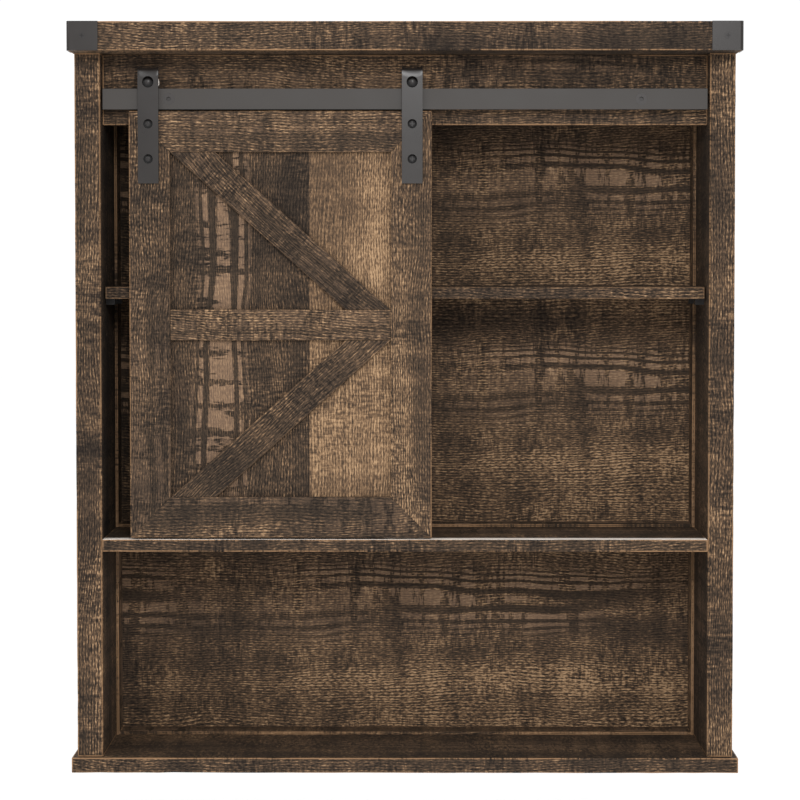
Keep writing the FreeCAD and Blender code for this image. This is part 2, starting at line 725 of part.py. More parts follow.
def make_back_strips():
    """The thin lining strips that frame the back panel in the two open bays."""
    thickness = size.back_strip_thickness
    depth = size.back_strip_depth
    uprights = [
        ("back_strip_lower_left", -half_width, side_foot, size.fixed_shelf_height),
        ("back_strip_lower_right", half_width - thickness, side_foot, size.fixed_shelf_height),
        ("back_strip_upper_left", -half_width, shelf_top, hanging_rail_foot),
        ("back_strip_upper_right", half_width - thickness, shelf_top, hanging_rail_foot),
    ]
    for label, x, foot, top in uprights:
        body = new_body(label)
        pad(body, "XY_Plane", rectangle(0, 0, thickness, depth), top - foot)
        keep(body, x, strips_depth, foot)
    length = size.inner_width - 2 * thickness
    for label, height in (("back_strip_bottom", side_foot), ("back_strip_shelf", shelf_top)):
        body = new_body(label)
        pad(body, "XY_Plane", rectangle(0, 0, length, depth), thickness)
        keep(body, -length / 2, strips_depth, height)


def make_corner_plate(label, on_left):
    """A folded plate round one front corner of the top board, with two countersunk holes."""
    leg = size.corner_plate_length
    sheet = size.corner_plate_thickness
    inner = size.top_corner_radius
    outer = inner + sheet
    outline = [
        (leg, 0),
        (leg, sheet),
        (outer, sheet),
        (sheet, outer, -inner),
        (sheet, leg),
        (0, leg),
        (0, outer),
        (outer, 0, outer),
    ]
    body = new_body(label)
    pad(body, "XY_Plane", outline if on_left else mirrored(outline, leg), size.top_thickness)
    middle = size.top_thickness / 2
    head = size.corner_screw_head
    shank = size.corner_screw_shank
    bore = shank + 2 * size.fit
    drill(body, "XZ_Plane", [(leg / 2, middle)], bore, sheet, 1)
    countersink(body, [(leg / 2, 0, middle)], FACE_FRONT, head, shank, sheet)
    side_face = 0 if on_left else leg
    drill(body, "YZ_Plane", [(leg / 2, middle)], bore, sheet, 1 if on_left else -1, side_face)
    side_turn = FACE_LEFT if on_left else FACE_RIGHT
    countersink(body, [(side_face, leg / 2, middle)], side_turn, head, shank, sheet)
    edge = outer_half_width + size.top_side_overhang + sheet
    keep(body, -edge if on_left else edge - leg, -size.top_front_overhang - sheet, side_top)


# ---------------------------------------------------------------- track, glide strip

def make_track():
    """The flat track bar with its two countersunk holes."""
    body = new_body("track_rail")
    pad(body, "XZ_Plane", rectangle(0, 0, track_length, size.track_height), size.track_thickness)
    spots = []
    for x in (size.track_bolt_inset, track_length - size.track_bolt_inset):
        spots.append((x, size.track_height / 2))
    drill(body, "XZ_Plane", spots, size.track_bolt_shank + 2 * size.fit, size.track_thickness, 1)
    sinks = [(x, 0, z) for x, z in spots]
    countersink(body, sinks, FACE_FRONT, size.track_bolt_head, size.track_bolt_shank,
                size.track_bolt_head_height)
    keep(body, -track_length / 2, size.track_setback, track_foot)


def make_glide_strip():
    """The pale strip under the door, with the fin that runs in the door's groove."""
    length = size.inner_width - 2 * size.strip_end_gap
    width = size.strip_width - 2 * size.strip_fit
    front = size.strip_lip + size.strip_fit
    body = new_body("guide_strip")
    pad(body, "XY_Plane", rectangle(0, 0, length, width), size.strip_thickness)
    fin_front = groove_depth_place - size.fin_thickness / 2 - front
    fin = rectangle((length - size.fin_length) / 2, fin_front,
                    (length + size.fin_length) / 2, fin_front + size.fin_thickness)
    pad(body, "XY_Plane", fin, size.fin_height, size.strip_thickness)
    keep(body, -length / 2, front, shelf_top - size.strip_thickness)


# ---------------------------------------------------------------- door, drawn from its lower left corner

def make_door_panel():
    """The plank panel behind the frame, grooved along its foot, bored for the strap screws."""
    body = new_body("door_panel")
    thickness = size.panel_thickness
    pad(body, "XZ_Plane", rectangle(0, 0, size.door_width, door_height), thickness)
    half_groove = size.fin_thickness / 2 + size.groove_clearance
    groove = rectangle(0, thickness / 2 - half_groove, size.door_width, thickness / 2 + half_groove)
    cut(body, "XY_Plane", groove, size.fin_height - size.door_foot_gap + size.groove_top_gap, 1)
    sink = size.strap_screw_length - size.strap_thickness - size.trim_thickness + size.dowel_end_gap
    drill(body, "XZ_Plane", strap_screw_spots(), size.strap_screw_shank + 2 * size.fit, sink, 1)
    keep(body, door_left, panel_depth, door_foot)


def strap_screw_spots():
    """The four strap screws, in the door's own frame."""
    upper = door_height - size.strap_screw_drop
    spots = []
    for x in (size.strap_inset, size.door_width - size.strap_inset):
        spots.append((x, upper))
        spots.append((x, upper - size.strap_screw_pitch))
    return spots


def make_trim(label, outline, on_arris=None, holes=()):
    """One board of the door's face, drawn in the door's frame."""
    body = new_body(label)
    pad(body, "XZ_Plane", outline, size.trim_thickness)
    if holes:
        drill(body, "XZ_Plane", holes, size.strap_screw_shank + 2 * size.fit,
              size.trim_thickness, 1)
    if on_arris:
        ease(body, size.frame_ease, on_arris)
    keep(body, door_left, size.door_setback, door_foot)


def make_door_frame():
    """Two stiles and two rails with mitred ends."""
    width = size.door_width
    height = door_height
    frame = size.frame_width
    upper_left, lower_left, upper_right, lower_right = strap_screw_spots()
    left = [(0, 0), (frame, frame), (frame, height - frame), (0, height)]
    make_trim("door_stile_left", left,
              lambda point: near(point.x, 0) and near(point.y, 0), [lower_left])
    make_trim("door_stile_right", mirrored(left, width),
              lambda point: near(point.x, width) and near(point.y, 0), [lower_right])
    foot = [(0, 0), (width, 0), (width - frame, frame), (frame, frame)]
    make_trim("door_rail_bottom", foot, lambda point: near(point.z, 0) and near(point.y, 0))
    top = [(x, height - z) for x, z in foot]
    make_trim("door_rail_top", top, lambda point: near(point.z, height) and near(point.y, 0),
              [upper_left, upper_right])


def make_door_braces():
    """The middle bar and the two braces that run from its right end to the left corners."""
    left = size.frame_width
    right = size.door_width - size.frame_width
    bar_foot = (door_height - size.bar_width) / 2
    bar_top = bar_foot + size.bar_width
    make_trim("door_mid_bar", rectangle(left, bar_foot, right, bar_top))
    for label, corner, bar in (("door_brace_lower", size.frame_width, bar_foot),
                               ("door_brace_upper", door_height - size.frame_width, bar_top)):
        outline = [
            (left, corner),
            (left + size.brace_foot, corner),
            (right, bar),
            (right - size.brace_foot, bar),
        ]
        make_trim(label, outline)


# ---------------------------------------------------------------- straps and rollers

def make_strap(label, centre):
    """A hanger strap: flat on the door, bent back over its roller, with a scooped top."""
    thickness = size.strap_thickness
    height = strap_top - strap_foot
    bend = size.strap_bend
    lip = size.strap_lip
    outline = [
        (0, 0),
        (thickness, 0),
        (thickness, height - bend),
        (bend, height - thickness, thickness - bend),
        (lip, height - thickness),
        (lip, height),
        (bend, height),
        (0, height - bend, bend),
    ]
    body = new_body(label)
    pad(body, "YZ_Plane", outline, size.strap_width)
    width = size.strap_width
    scoop = size.strap_scoop
    scoop_radius = (width * width / 4 + scoop * scoop) / (2 * scoop)
    above = height + scoop
    hollow = [(0, height), (width, height, scoop_radius), (width, above), (0, above)]
    cut(body, "XZ_Plane", hollow, lip, 1)
    middle = width / 2
    drill(body, "XZ_Plane", [(middle, axle_height - strap_foot)],
          size.axle_diameter + 2 * size.fit, thickness, 1)
    upper = door_top - size.strap_screw_drop - strap_foot
    screws = [(middle, upper), (middle, upper - size.strap_screw_pitch)]
    drill(body, "XZ_Plane", screws, size.strap_screw_shank + 2 * size.fit, thickness, 1)
    keep(body, centre - width / 2, strap_front, strap_foot)


def make_roller(label, centre):
    """A grooved roller that straddles the track, with a proud hub and a plain bore."""
    bore = size.axle_diameter / 2 + size.fit
    hub = size.hub_diameter / 2
    rim = size.roller_diameter / 2
    rise = size.hub_rise
    flange = size.flange_width
    outline = [
        (bore, -rise),
        (hub, -rise),
        (hub, 0),
        (rim, 0),
        (rim, flange),
        (size.tread_radius, flange),
        (size.tread_radius, roller_width - flange),
        (rim, roller_width - flange),
        (rim, roller_width),
        (hub, roller_width),
        (hub, roller_width + rise),
        (bore, roller_width + rise),
    ]
    body = new_body(label)
    turn_profile(body, outline)
    keep(body, centre, roller_front, axle_height, FACE_BACK)


# ---------------------------------------------------------------- fasteners

def make_cross_recess(body, head, level):
    """A cross recess sunk into the top of a head."""
    long = head * size.recess_length_share / 2
    short = head * size.recess_width_share / 2
    outline = [
        (long, -short), (long, short), (short, short), (short, long), (-short, long),
        (-short, short), (-long, short), (-long, -short), (-short, -short), (-short, -long),
        (short, -long), (short, -short),
    ]
    cut(body, "XY_Plane", outline, size.recess_depth, -1, level)


def hexagon(across_flats):
    """The corners of a hexagon about the sketch's origin."""
    reach = across_flats / math.sqrt(3)
    corners = []
    for step in range(6):
        angle = math.radians(60 * step + 30)
        corners.append((reach * round(math.cos(angle), 9), reach * round(math.sin(angle), 9)))
    return corners


def make_flat_screw(label, head, shank, length, head_height):
    """A countersunk screw, its head flush with z = 0 and its shank below."""
    body = new_body(label)
    outline = [
        (0, -length),
        (shank / 2, -length),
        (shank / 2, -head_height),
        (head / 2, 0),
        (0, 0),
    ]
    turn_profile(body, outline)
    return body


def make_domed_bolt(label, head, head_height, shank, length):
    """A bolt with a domed head above z = 0."""
    dome = (head * head / 4 + head_height * head_height) / (2 * head_height)
    body = new_body(label)
    outline = [
        (0, -length),
        (shank / 2, -length),
        (shank / 2, 0),
        (head / 2, 0),
        (0, head_height, dome),
    ]
    turn_profile(body, outline)
    return body


def make_rod(label, diameter, length):
    """A plain dowel along its own X axis."""
    body = new_body(label)
    sketch = new_sketch(body, "YZ_Plane")
    draw_circle(sketch, 0, 0, diameter)
    feature = body.newObject("PartDesign::Pad", "Pad")
    feature.Profile = sketch
    bind(feature, "Length", length)
    doc.recompute()
    return body


def make_ring(label, outline_or_diameter, bore, length):
    """A spacer or a nut: a round or hexagonal outside with a plain bore, along its own Z axis."""
    body = new_body(label)
    sketch = new_sketch(body, "XY_Plane")
    if isinstance(outline_or_diameter, list):
        draw_outline(sketch, outline_or_diameter)
    else:
        draw_circle(sketch, 0, 0, outline_or_diameter)
    draw_circle(sketch, 0, 0, bore)
    feature = body.newObject("PartDesign::Pad", "Pad")
    feature.Profile = sketch
    bind(feature, "Length", length)
    doc.recompute()
    return body


def make_carcass_fasteners():
    """Dowels, bottom screws, back screws and corner plate screws."""
    half_dowel = size.dowel_length / 2
    dowel = make_rod("joint_dowel", size.dowel_diameter, size.dowel_length)
    spots = []
    for x in (-half_width - half_dowel, half_width - half_dowel):
        spots += [(x, depth, height, NO_TURN) for depth, height in dowel_places()]
    keep_group("joint_dowels", dowel, spots)

    side_middle = half_width + size.side_thickness / 2
    top_dowel = make_rod("top_dowel", size.top_dowel_diameter, size.top_dowel_length)
    foot = side_top - size.top_dowel_length / 2
    spots = []
    for side in (-1, 1):
        for depth in shelf_dowel_depths:
            spots.append((side * side_middle, depth, foot, UPRIGHT))
    keep_group("top_dowels", top_dowel, spots)

    head_height = (size.bottom_screw_head - size.bottom_screw_shank) / 2
    screw = make_flat_screw("bottom_screw", size.bottom_screw_head, size.bottom_screw_shank,
                            size.bottom_screw_length, head_height)
    make_cross_recess(screw, size.bottom_screw_head, 0)
    spots = []
    for side in (-1, 1):
        for depth in shelf_dowel_depths:
            spots.append((side * side_middle, depth, 0, FACE_DOWN))
    keep_group("bottom_screws", screw, spots)

    head_height = (size.back_screw_head - size.back_screw_shank) / 2
    screw = make_flat_screw("back_screw", size.back_screw_head, size.back_screw_shank,
                            size.back_screw_length, head_height)
    make_cross_recess(screw, size.back_screw_head, 0)
    spots = []
    for side in (-1, 1):
        for height in back_screw_heights:
            spots.append((side * back_screw_x, size.side_depth, height, FACE_BACK))
    keep_group("back_screws", screw, spots)

    screw = make_flat_screw("corner_screw", size.corner_screw_head, size.corner_screw_shank,
                            size.corner_screw_length, size.corner_plate_thickness)
    make_cross_recess(screw, size.corner_screw_head, 0)
    edge = outer_half_width + size.top_side_overhang + size.corner_plate_thickness
    front = -size.top_front_overhang - size.corner_plate_thickness
    middle = side_top + size.top_thickness / 2
    reach = size.corner_plate_length / 2
    keep_group("corner_screws", screw, [
        (-edge + reach, front, middle, FACE_FRONT),
        (edge - reach, front, middle, FACE_FRONT),
        (-edge, front + reach, middle, FACE_LEFT),
        (edge, front + reach, middle, FACE_RIGHT),
    ])


def make_shelf_pins():
    """Four pins: a round peg in the side and a flat-topped block under the loose shelf."""
    pin_body = make_rod("shelf_pin", size.pin_diameter, size.pin_depth)
    half = size.pin_block_width / 2
    top = size.pin_diameter / 2
    block = rectangle(-half, top - size.pin_block_height, half, top)
    pad(pin_body, "YZ_Plane", block, size.pin_reach, size.pin_depth)
    spots = []
    for depth in (size.pin_front_setback, size.pin_back_setback):
        spots.append((-half_width - size.pin_depth, depth, pin_height, NO_TURN))
        spots.append((half_width + size.pin_depth, depth, pin_height, HALF_TURN))
    keep_group("shelf_pins", pin_body, spots)


def make_track_fasteners():
    """The track's bolts, the spacers behind it and the nuts behind the header."""
    bolt = make_flat_screw("track_bolt", size.track_bolt_head, size.track_bolt_shank,
                           track_bolt_length, size.track_bolt_head_height)
    cut(bolt, "XY_Plane", hexagon(size.hex_recess), size.hex_recess_depth, -1)
    bore = size.track_bolt_shank + 2 * size.fit
    spacer = make_ring("rail_spacer", size.spacer_diameter, bore, spacer_length)
    nut = make_ring("rail_nut", hexagon(size.nut_width), bore, size.nut_height)
    rows = [
        ("rail_bolts", bolt, size.track_setback, FACE_FRONT),
        ("rail_spacers", spacer, size.track_setback + size.track_thickness, FACE_BACK),
        ("rail_nuts", nut, header_back, FACE_BACK),
    ]
    for label, master, depth, turn in rows:
        spots = [(side * track_bolt_x, depth, track_middle, turn) for side in (-1, 1)]
        keep_group(label, master, spots)


def make_door_fasteners():
    """The strap screws, and each roller's axle bolt and nut."""
    screw = make_domed_bolt("strap_screw", size.strap_screw_head, size.strap_screw_head_height,
                            size.strap_screw_shank, size.strap_screw_length)
    make_cross_recess(screw, size.strap_screw_head, size.strap_screw_head_height)
    spots = []
    for x, z in strap_screw_spots():
        spots.append((door_left + x, strap_front, door_foot + z, FACE_FRONT))
    keep_group("strap_screws", screw, spots)

    axle = make_domed_bolt("roller_axle", size.axle_head, size.axle_head_height,
                           size.axle_diameter, axle_length)
    bore = size.axle_diameter + 2 * size.fit
    nut = make_ring("roller_nut", hexagon(size.nut_width), bore, size.nut_height)
    rows = [
        ("roller_axles", axle, strap_front, FACE_FRONT),
        ("roller_nuts", nut, axle_nut_front, FACE_BACK),
    ]
    for label, master, depth, turn in rows:
        keep_group(label, master, [(x, depth, axle_height, turn) for x in strap_centres])


# ---------------------------------------------------------------- build, check and write

def build():
    """Make every sub-part."""
    make_side("left_side", True)
    make_side("right_side", False)
    make_bottom_board()
    make_top_board()
    make_fixed_shelf()
    make_loose_shelf()
    make_header_board()
    make_hanging_rail()
    make_back_panel()
    make_back_strips()
    make_corner_plate("corner_plate_left", True)
    make_corner_plate("corner_plate_right", False)
    make_track()
    make_glide_strip()
    make_door_panel()
    make_door_frame()
    make_door_braces()
    for label_end, centre in zip(("left", "right"), strap_centres):
        make_strap(f"hanger_strap_{label_end}", centre)
        make_roller(f"roller_{label_end}", centre)
    make_carcass_fasteners()
    make_shelf_pins()
    make_track_fasteners()
    make_door_fasteners()
    doc.recompute()


def check():
    """Stop if any object failed, or any sub-part has no valid shape."""
    for thing in doc.Objects:
        if "Invalid" in thing.State or "Error" in thing.State:
            raise RuntimeError(f"{thing.Name} ({thing.Label}) failed: {thing.State}")
    for thing in sub_parts:
        if thing.Shape.isNull() or not thing.Shape.isValid():
            raise RuntimeError(f"{thing.Label} has no valid shape")


def write():
    """Write each sub-part to a file of its own."""
    os.makedirs(PARTS_FOLDER, exist_ok=True)
    for thing in sub_parts:
        thing.Shape.exportStep(os.path.join(PARTS_FOLDER, f"{thing.Label}.step"))
    whole = Part.makeCompound([thing.Shape for thing in sub_parts]).BoundBox
    print(f"{len(sub_parts)} sub-parts, {whole.XLength:.1f} x {whole.YLength:.1f} x"
          f" {whole.ZLength:.1f} mm")


build()
check()
write()
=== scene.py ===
# %% [markdown]
# # A barn-door wall cabinet
# This notebook dresses a cabinet whose measured model already exists: every board, screw and
# roller comes in with its real size and place. What is left to do here is the finish: rough-sawn
# boards with worn arrises, painted iron, a pale glide strip, and a light studio to show them in.
# The frame has to be loaded before anything else, because every piece is placed from it.

# %% Load the frame
import json
import math

import bmesh
import bpy
from mathutils import Matrix, Vector, noise


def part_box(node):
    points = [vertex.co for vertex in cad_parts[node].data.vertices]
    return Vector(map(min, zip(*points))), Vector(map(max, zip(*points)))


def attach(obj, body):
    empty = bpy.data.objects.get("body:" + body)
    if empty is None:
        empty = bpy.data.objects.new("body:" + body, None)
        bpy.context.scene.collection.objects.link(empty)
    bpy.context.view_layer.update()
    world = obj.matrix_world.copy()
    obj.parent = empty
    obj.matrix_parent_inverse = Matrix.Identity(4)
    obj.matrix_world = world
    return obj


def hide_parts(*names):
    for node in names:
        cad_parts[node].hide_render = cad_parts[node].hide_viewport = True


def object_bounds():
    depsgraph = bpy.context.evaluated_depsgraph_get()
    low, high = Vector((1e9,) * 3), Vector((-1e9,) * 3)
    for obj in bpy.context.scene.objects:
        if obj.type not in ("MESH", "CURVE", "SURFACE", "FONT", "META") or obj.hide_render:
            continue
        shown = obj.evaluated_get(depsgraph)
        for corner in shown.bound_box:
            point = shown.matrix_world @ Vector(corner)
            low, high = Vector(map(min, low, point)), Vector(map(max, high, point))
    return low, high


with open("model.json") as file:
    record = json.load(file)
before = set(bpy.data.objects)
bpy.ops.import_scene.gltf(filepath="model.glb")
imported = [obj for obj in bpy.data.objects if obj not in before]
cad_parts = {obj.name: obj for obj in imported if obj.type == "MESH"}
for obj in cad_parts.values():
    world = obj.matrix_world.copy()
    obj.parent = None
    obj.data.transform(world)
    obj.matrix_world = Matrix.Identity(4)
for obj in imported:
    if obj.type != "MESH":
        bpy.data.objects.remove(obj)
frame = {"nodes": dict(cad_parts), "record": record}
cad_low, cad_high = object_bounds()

MM = 0.001

# %% [markdown]
# ## Shader maths as plain expressions
# A node graph for old wood is long, and wiring each Math node by hand hides what it works out.
# So a socket is wrapped in a small class whose operators add the nodes: `1 - mask` then reads as
# it would on paper. Numbers and vectors need different nodes, so the class looks at the socket's
# type before it picks one. Every other node comes from one method, `Graph.node`, which sets the
# node's settings first, because some of them change which sockets it has.


# %% A wrapped socket
class Wire:
    """One output socket of a shader graph, ready for arithmetic."""

    def __init__(self, graph, socket):
        self.graph = graph
        self.socket = socket

    def __add__(self, other):
        return self.graph.maths("ADD", self, other)

    def __radd__(self, other):
        return self.graph.maths("ADD", other, self)

    def __sub__(self, other):
        return self.graph.maths("SUBTRACT", self, other)

    def __rsub__(self, other):
        return self.graph.maths("SUBTRACT", other, self)

    def __mul__(self, other):
        return self.graph.maths("MULTIPLY", self, other)

    def __rmul__(self, other):
        return self.graph.maths("MULTIPLY", other, self)


print("a wire knows", sum(name.startswith("__r") for name in vars(Wire)), "reflected operators")


# %% The graph that makes nodes
class Graph:
    """A material's node tree with one way to add a node and one way to do sums."""

    def __init__(self, name):
        self.material = bpy.data.materials.new(name)
        self.material.use_nodes = True
        self.tree = self.material.node_tree
        self.tree.nodes.clear()

    def node(self, kind, settings=None, sockets=None, out=0):
        """Add a node: settings first, then its sockets' values or links; give back an output."""
        made = self.tree.nodes.new(kind)
        for name, value in (settings or {}).items():
            if name == "stops":
                self.set_stops(made.color_ramp, value)
            else:
                setattr(made, name, value)
        for key, value in (sockets or {}).items():
            self.feed(made.inputs[key], value)
        return Wire(self, made.outputs[out]) if len(made.outputs) else None

    def feed(self, socket, value):
        """Link a wire to a socket, or set the socket's own value."""
        if isinstance(value, Wire):
            self.tree.links.new(value.socket, socket)
        else:
            socket.default_value = value

    def set_stops(self, ramp, stops):
        """Give a colour ramp its stops, from (place, colour) pairs."""
        while len(ramp.elements) < len(stops):
            ramp.elements.new(1.0)
        for element, (place, colour) in zip(ramp.elements, stops):
            element.position = place
            element.color = (*colour, 1.0)

    def maths(self, operation, left, right):
        """Numbers go through a Math node, vectors through a Vector Math node."""
        wires = [value for value in (left, right) if isinstance(value, Wire)]
        vector = any(wire.socket.type == "VECTOR" for wire in wires)
        kind = "ShaderNodeVectorMath" if vector else "ShaderNodeMath"
        return self.node(kind, {"operation": operation}, {0: left, 1: right})

    def numbers(self, operation, *values):
        """A Math node by name, for what has no operator."""
        return self.node("ShaderNodeMath", {"operation": operation}, dict(enumerate(values)))

    def mix(self, amount, low, high):
        """Blend two colours by an amount."""
        return self.node("ShaderNodeMix", {"data_type": "RGBA"},
                         {0: amount, 6: low, 7: high}, out=2)

    def parts(self, vector):
        """The three numbers of a vector, as three wires."""
        split = self.node("ShaderNodeSeparateXYZ", None, {0: vector}).socket.node.outputs
        return [Wire(self, socket) for socket in split]

    def attribute(self, name, out=1):
        """An attribute of the mesh: out is 1 for its vector and 2 for its single number."""
        return self.node("ShaderNodeAttribute", {"attribute_name": name}, out=out)

    def object_place(self):
        """The place on the object, for finishes that need no board axes."""
        return self.node("ShaderNodeTexCoord", out=3)

    def bump(self, strength, distance, height):
        """Turn a height into a normal."""
        return self.node("ShaderNodeBump", None,
                         {"Strength": strength, "Distance": distance, "Height": height})

    def noise(self, at, stretch, detail=2.0, roughness=0.5):
        """Noise read at a place whose three axes are stretched, in cells per metre."""
        return self.node("ShaderNodeTexNoise", {"normalize": True},
                         {"Vector": at * stretch, "Scale": 1.0, "Detail": detail,
                          "Roughness": roughness})

    def step(self, value, low, high):
        """Rise smoothly from 0 at low to 1 at high."""
        return self.node("ShaderNodeMapRange", {"interpolation_type": "SMOOTHSTEP"},
                         {0: value, 1: low, 2: high})

    def surface(self, links, **plain):
        """Finish with one Principled shader: links vary over the surface, plain values don't."""
        shader = self.node("ShaderNodeBsdfPrincipled", None, {**links, **plain})
        self.node("ShaderNodeOutputMaterial", None, {"Surface": shader})
        return self.material


def linear(red, green, blue):
    """A colour picked on a screen, from 0 to 255, as the linear light shaders use."""
    return tuple(((v / 255 + 0.055) / 1.055) ** 2.4 if v > 10 else v / 3294.6
                 for v in (red, green, blue))


print("linear mid grey:", [round(v, 3) for v in linear(128, 128, 128)])

# %% [markdown]
# ## Rough-sawn, stained boards
# The cabinet is covered in a dark barn-board finish: tan wood that shows in places through a
# charcoal stain. Four things are laid over each other. Pale lines a saw tooth apart follow the
# grain, broken into dashes. Short marks cross it where the blade chattered. Clouds of stain lie on
# both. And where growth rings surface, the tan opens into cathedral arches with dark rims. An
# image of such a board has one scale and repeats, so each of the four is a noise or a curve, laid
# along the board's own grain.
# A board therefore carries its own axes in attributes: `grain` is the place along, across and
# through the board, `half` is half its size, which tells how far an arris is, and `lift` is how
# much paler this board is than its neighbours, less the painted shade on faces inside a bay.

# %% Colours of the boards
INK = linear(27, 21, 17)
CHARCOAL = linear(50, 40, 31)
BROWN = linear(77, 60, 45)
TAN = linear(116, 91, 67)
STRAW = linear(161, 131, 99)
RUBBED = linear(140, 108, 78)
PINKISH = linear(112, 91, 76)
STAIN = [(0.14, INK), (0.34, CHARCOAL), (0.51, BROWN), (0.66, TAN), (0.82, STRAW)]
print("stain runs through", len(STAIN), "colours, from ink to straw")


# %% Cathedral arches
def arches(graph, grain, tight, slope):
    """Growth rings where a board was cut flat: arches that point along it, close at the sides.

    Each ring is a parabola, across squared against along, so the sine of that sum draws them.
    """
    along, across, _ = graph.parts(grain)
    rings = across * across * tight + along * slope
    return graph.numbers("SINE", rings * math.tau), graph.numbers("ABSOLUTE", across)


RING_TIGHTNESS = 2600.0
RING_SLOPE = 1.6
print("rings", round(math.sqrt(1 / RING_TIGHTNESS) / MM), "mm aside of the middle are one apart")


# %% Layers of the board's pattern
TEETH = 2.7 * MM


def teeth_along(graph, grain, bent):
    """Pale lines along the grain, one tooth of the saw apart, broken into dashes."""
    _, across, through = graph.parts(bent)
    sway = graph.noise(grain, (6.0, 30.0, 30.0), detail=1.0) * 4.0
    lines = graph.numbers("SINE", (across + through) * (math.tau / TEETH) + sway)
    broken = graph.noise(bent, (130.0, 420.0, 420.0), detail=1.0)
    return lines * (broken - 0.28) * 0.42


def distance_to_arris(graph, half, local):
    """How far a point lies from the nearest arris: the middle one of its three gaps to a face."""
    gaps = graph.parts(half - graph.node("ShaderNodeVectorMath", {"operation": "ABSOLUTE"},
                                         {0: local}))
    least = graph.numbers("MINIMUM", graph.numbers("MINIMUM", gaps[0], gaps[1]), gaps[2])
    most = graph.numbers("MAXIMUM", graph.numbers("MAXIMUM", gaps[0], gaps[1]), gaps[2])
    return gaps[0] + gaps[1] + gaps[2] - least - most


print("the saw's teeth leave", round(1 / TEETH), "lines to a metre")


# %% Barn-board material
def barn_board(name, tone=0.0, figure=0.3, wear=1.0, reach=0.05, tune=None):
    """A stained board. figure is how strongly its arches show, reach how far they spread."""
    graph = Graph(name)
    grain, half, local = (graph.attribute(key) for key in ("grain", "half", "local"))
    lift, rub = (graph.attribute(key, out=2) for key in ("lift", "rub"))

    drift = graph.noise(grain, (4.0, 11.0, 11.0), detail=2.0) - 0.5
    bent = grain + graph.node("ShaderNodeCombineXYZ", None, {1: drift * 0.030, 2: drift * 0.010})
    flecks = graph.noise(bent, (250.0, 1150.0, 1150.0), detail=1.0, roughness=0.5) - 0.5
    cuts = graph.noise(grain, (420.0, 85.0, 85.0), detail=2.0, roughness=0.6) - 0.5
    smears = graph.noise(grain, (48.0, 6.0, 6.0), detail=2.0) - 0.5
    clouds = graph.noise(bent, (8.0, 20.0, 20.0), detail=3.0, roughness=0.6) - 0.5
    bands = graph.noise(bent, (1.6, 21.0, 21.0), detail=2.0) - 0.5
    sawn = graph.step(graph.noise(grain, (15.0, 24.0, 24.0), detail=2.0), 0.46, 0.64)

    fine = flecks * 0.95 + teeth_along(graph, grain, bent)
    cloth = fine * (clouds + bands * 1.4 + 1.0)
    cloth = cloth + cuts * (sawn * 0.55 + 0.26) + smears * 0.38
    bare = cloth + clouds * 0.22 + bands * 0.5 + lift + (0.45 + tone)

    aside = graph.noise(grain, (4.5, 9.0, 9.0), detail=2.5) * 0.046 - 0.023
    moved = grain + graph.node("ShaderNodeCombineXYZ", None, {1: aside})
    rings, off_middle = arches(graph, moved, RING_TIGHTNESS, RING_SLOPE)
    shown = 1 - graph.step(off_middle, reach * 0.5, reach)
    shown = shown * graph.step(graph.noise(grain, (2.3, 7.0, 7.0), detail=1.0), 0.38, 0.52)
    bars = graph.step(graph.noise(grain, (75.0, 9.0, 9.0), detail=2.0) + cuts * 0.4, 0.44, 0.50)
    patch = graph.step(rings, -0.15, 0.15) * shown * bars * figure
    bare = bare + (cloth * 0.55 + 0.64 - bare) * patch
    rim = (1 - graph.step(rings, -0.75, -0.25)) * shown * (0.85 * figure)
    bare = bare + (cloth * 0.3 + 0.31 - bare) * rim
    if tune is not None:
        bare = tune(graph, local, bare)
    colour = graph.node("ShaderNodeValToRGB", {"stops": STAIN}, {0: bare})

    arris = distance_to_arris(graph, half, local)
    worn = 1 - graph.step(arris, 0.6 * MM, 1.7 * MM)
    worn = worn * graph.step(clouds + cuts * 0.5, -0.14, 0.06)
    colour = graph.mix(patch * 0.45, colour, (*PINKISH, 1.0))
    colour = graph.mix(worn * rub * (0.9 * wear), colour, (*RUBBED, 1.0))
    return graph.surface({"Base Color": colour, "Roughness": 0.9 - bare * 0.22,
                          "Normal": graph.bump(0.25, 0.4 * MM, cloth - worn * 0.2)},
                         **{"Specular IOR Level": 0.18})


trial = barn_board("Trial board")
print("one board's finish takes", len(trial.node_tree.nodes), "nodes")
bpy.data.materials.remove(trial)

# %% [markdown]
# ## Three plank tones on the door
# Behind the door's braces the planks change tone: dark ones at the left, a bare tan one, and a
# greyer tan one at the right. The plank joints are straight, so one material can hold all three:
# it asks how far across the panel a point lies and bares the wood plank by plank. A material for
# each plank would do as well, but then the panel would have to be cut up.

# %% Plank tones
JOINTS = (27.3 * MM, 60.4 * MM)


def plank_tones(graph, local, bare):
    """Bare the two right-hand planks, calm their contrast and darken the joints."""
    _, across, _ = graph.parts(local)
    tan, grey = (graph.step(across, place - 0.2 * MM, place + 0.2 * MM) for place in JOINTS)
    joint = sum(1 - graph.step(graph.numbers("ABSOLUTE", across - place), 0.3 * MM, 1.1 * MM)
                for place in JOINTS)
    return bare * (1 - tan * 0.26) + tan * 0.315 - grey * 0.01 - joint * 0.10


print("plank joints at", [round(v / MM, 1) for v in JOINTS], "mm right of the panel's middle")
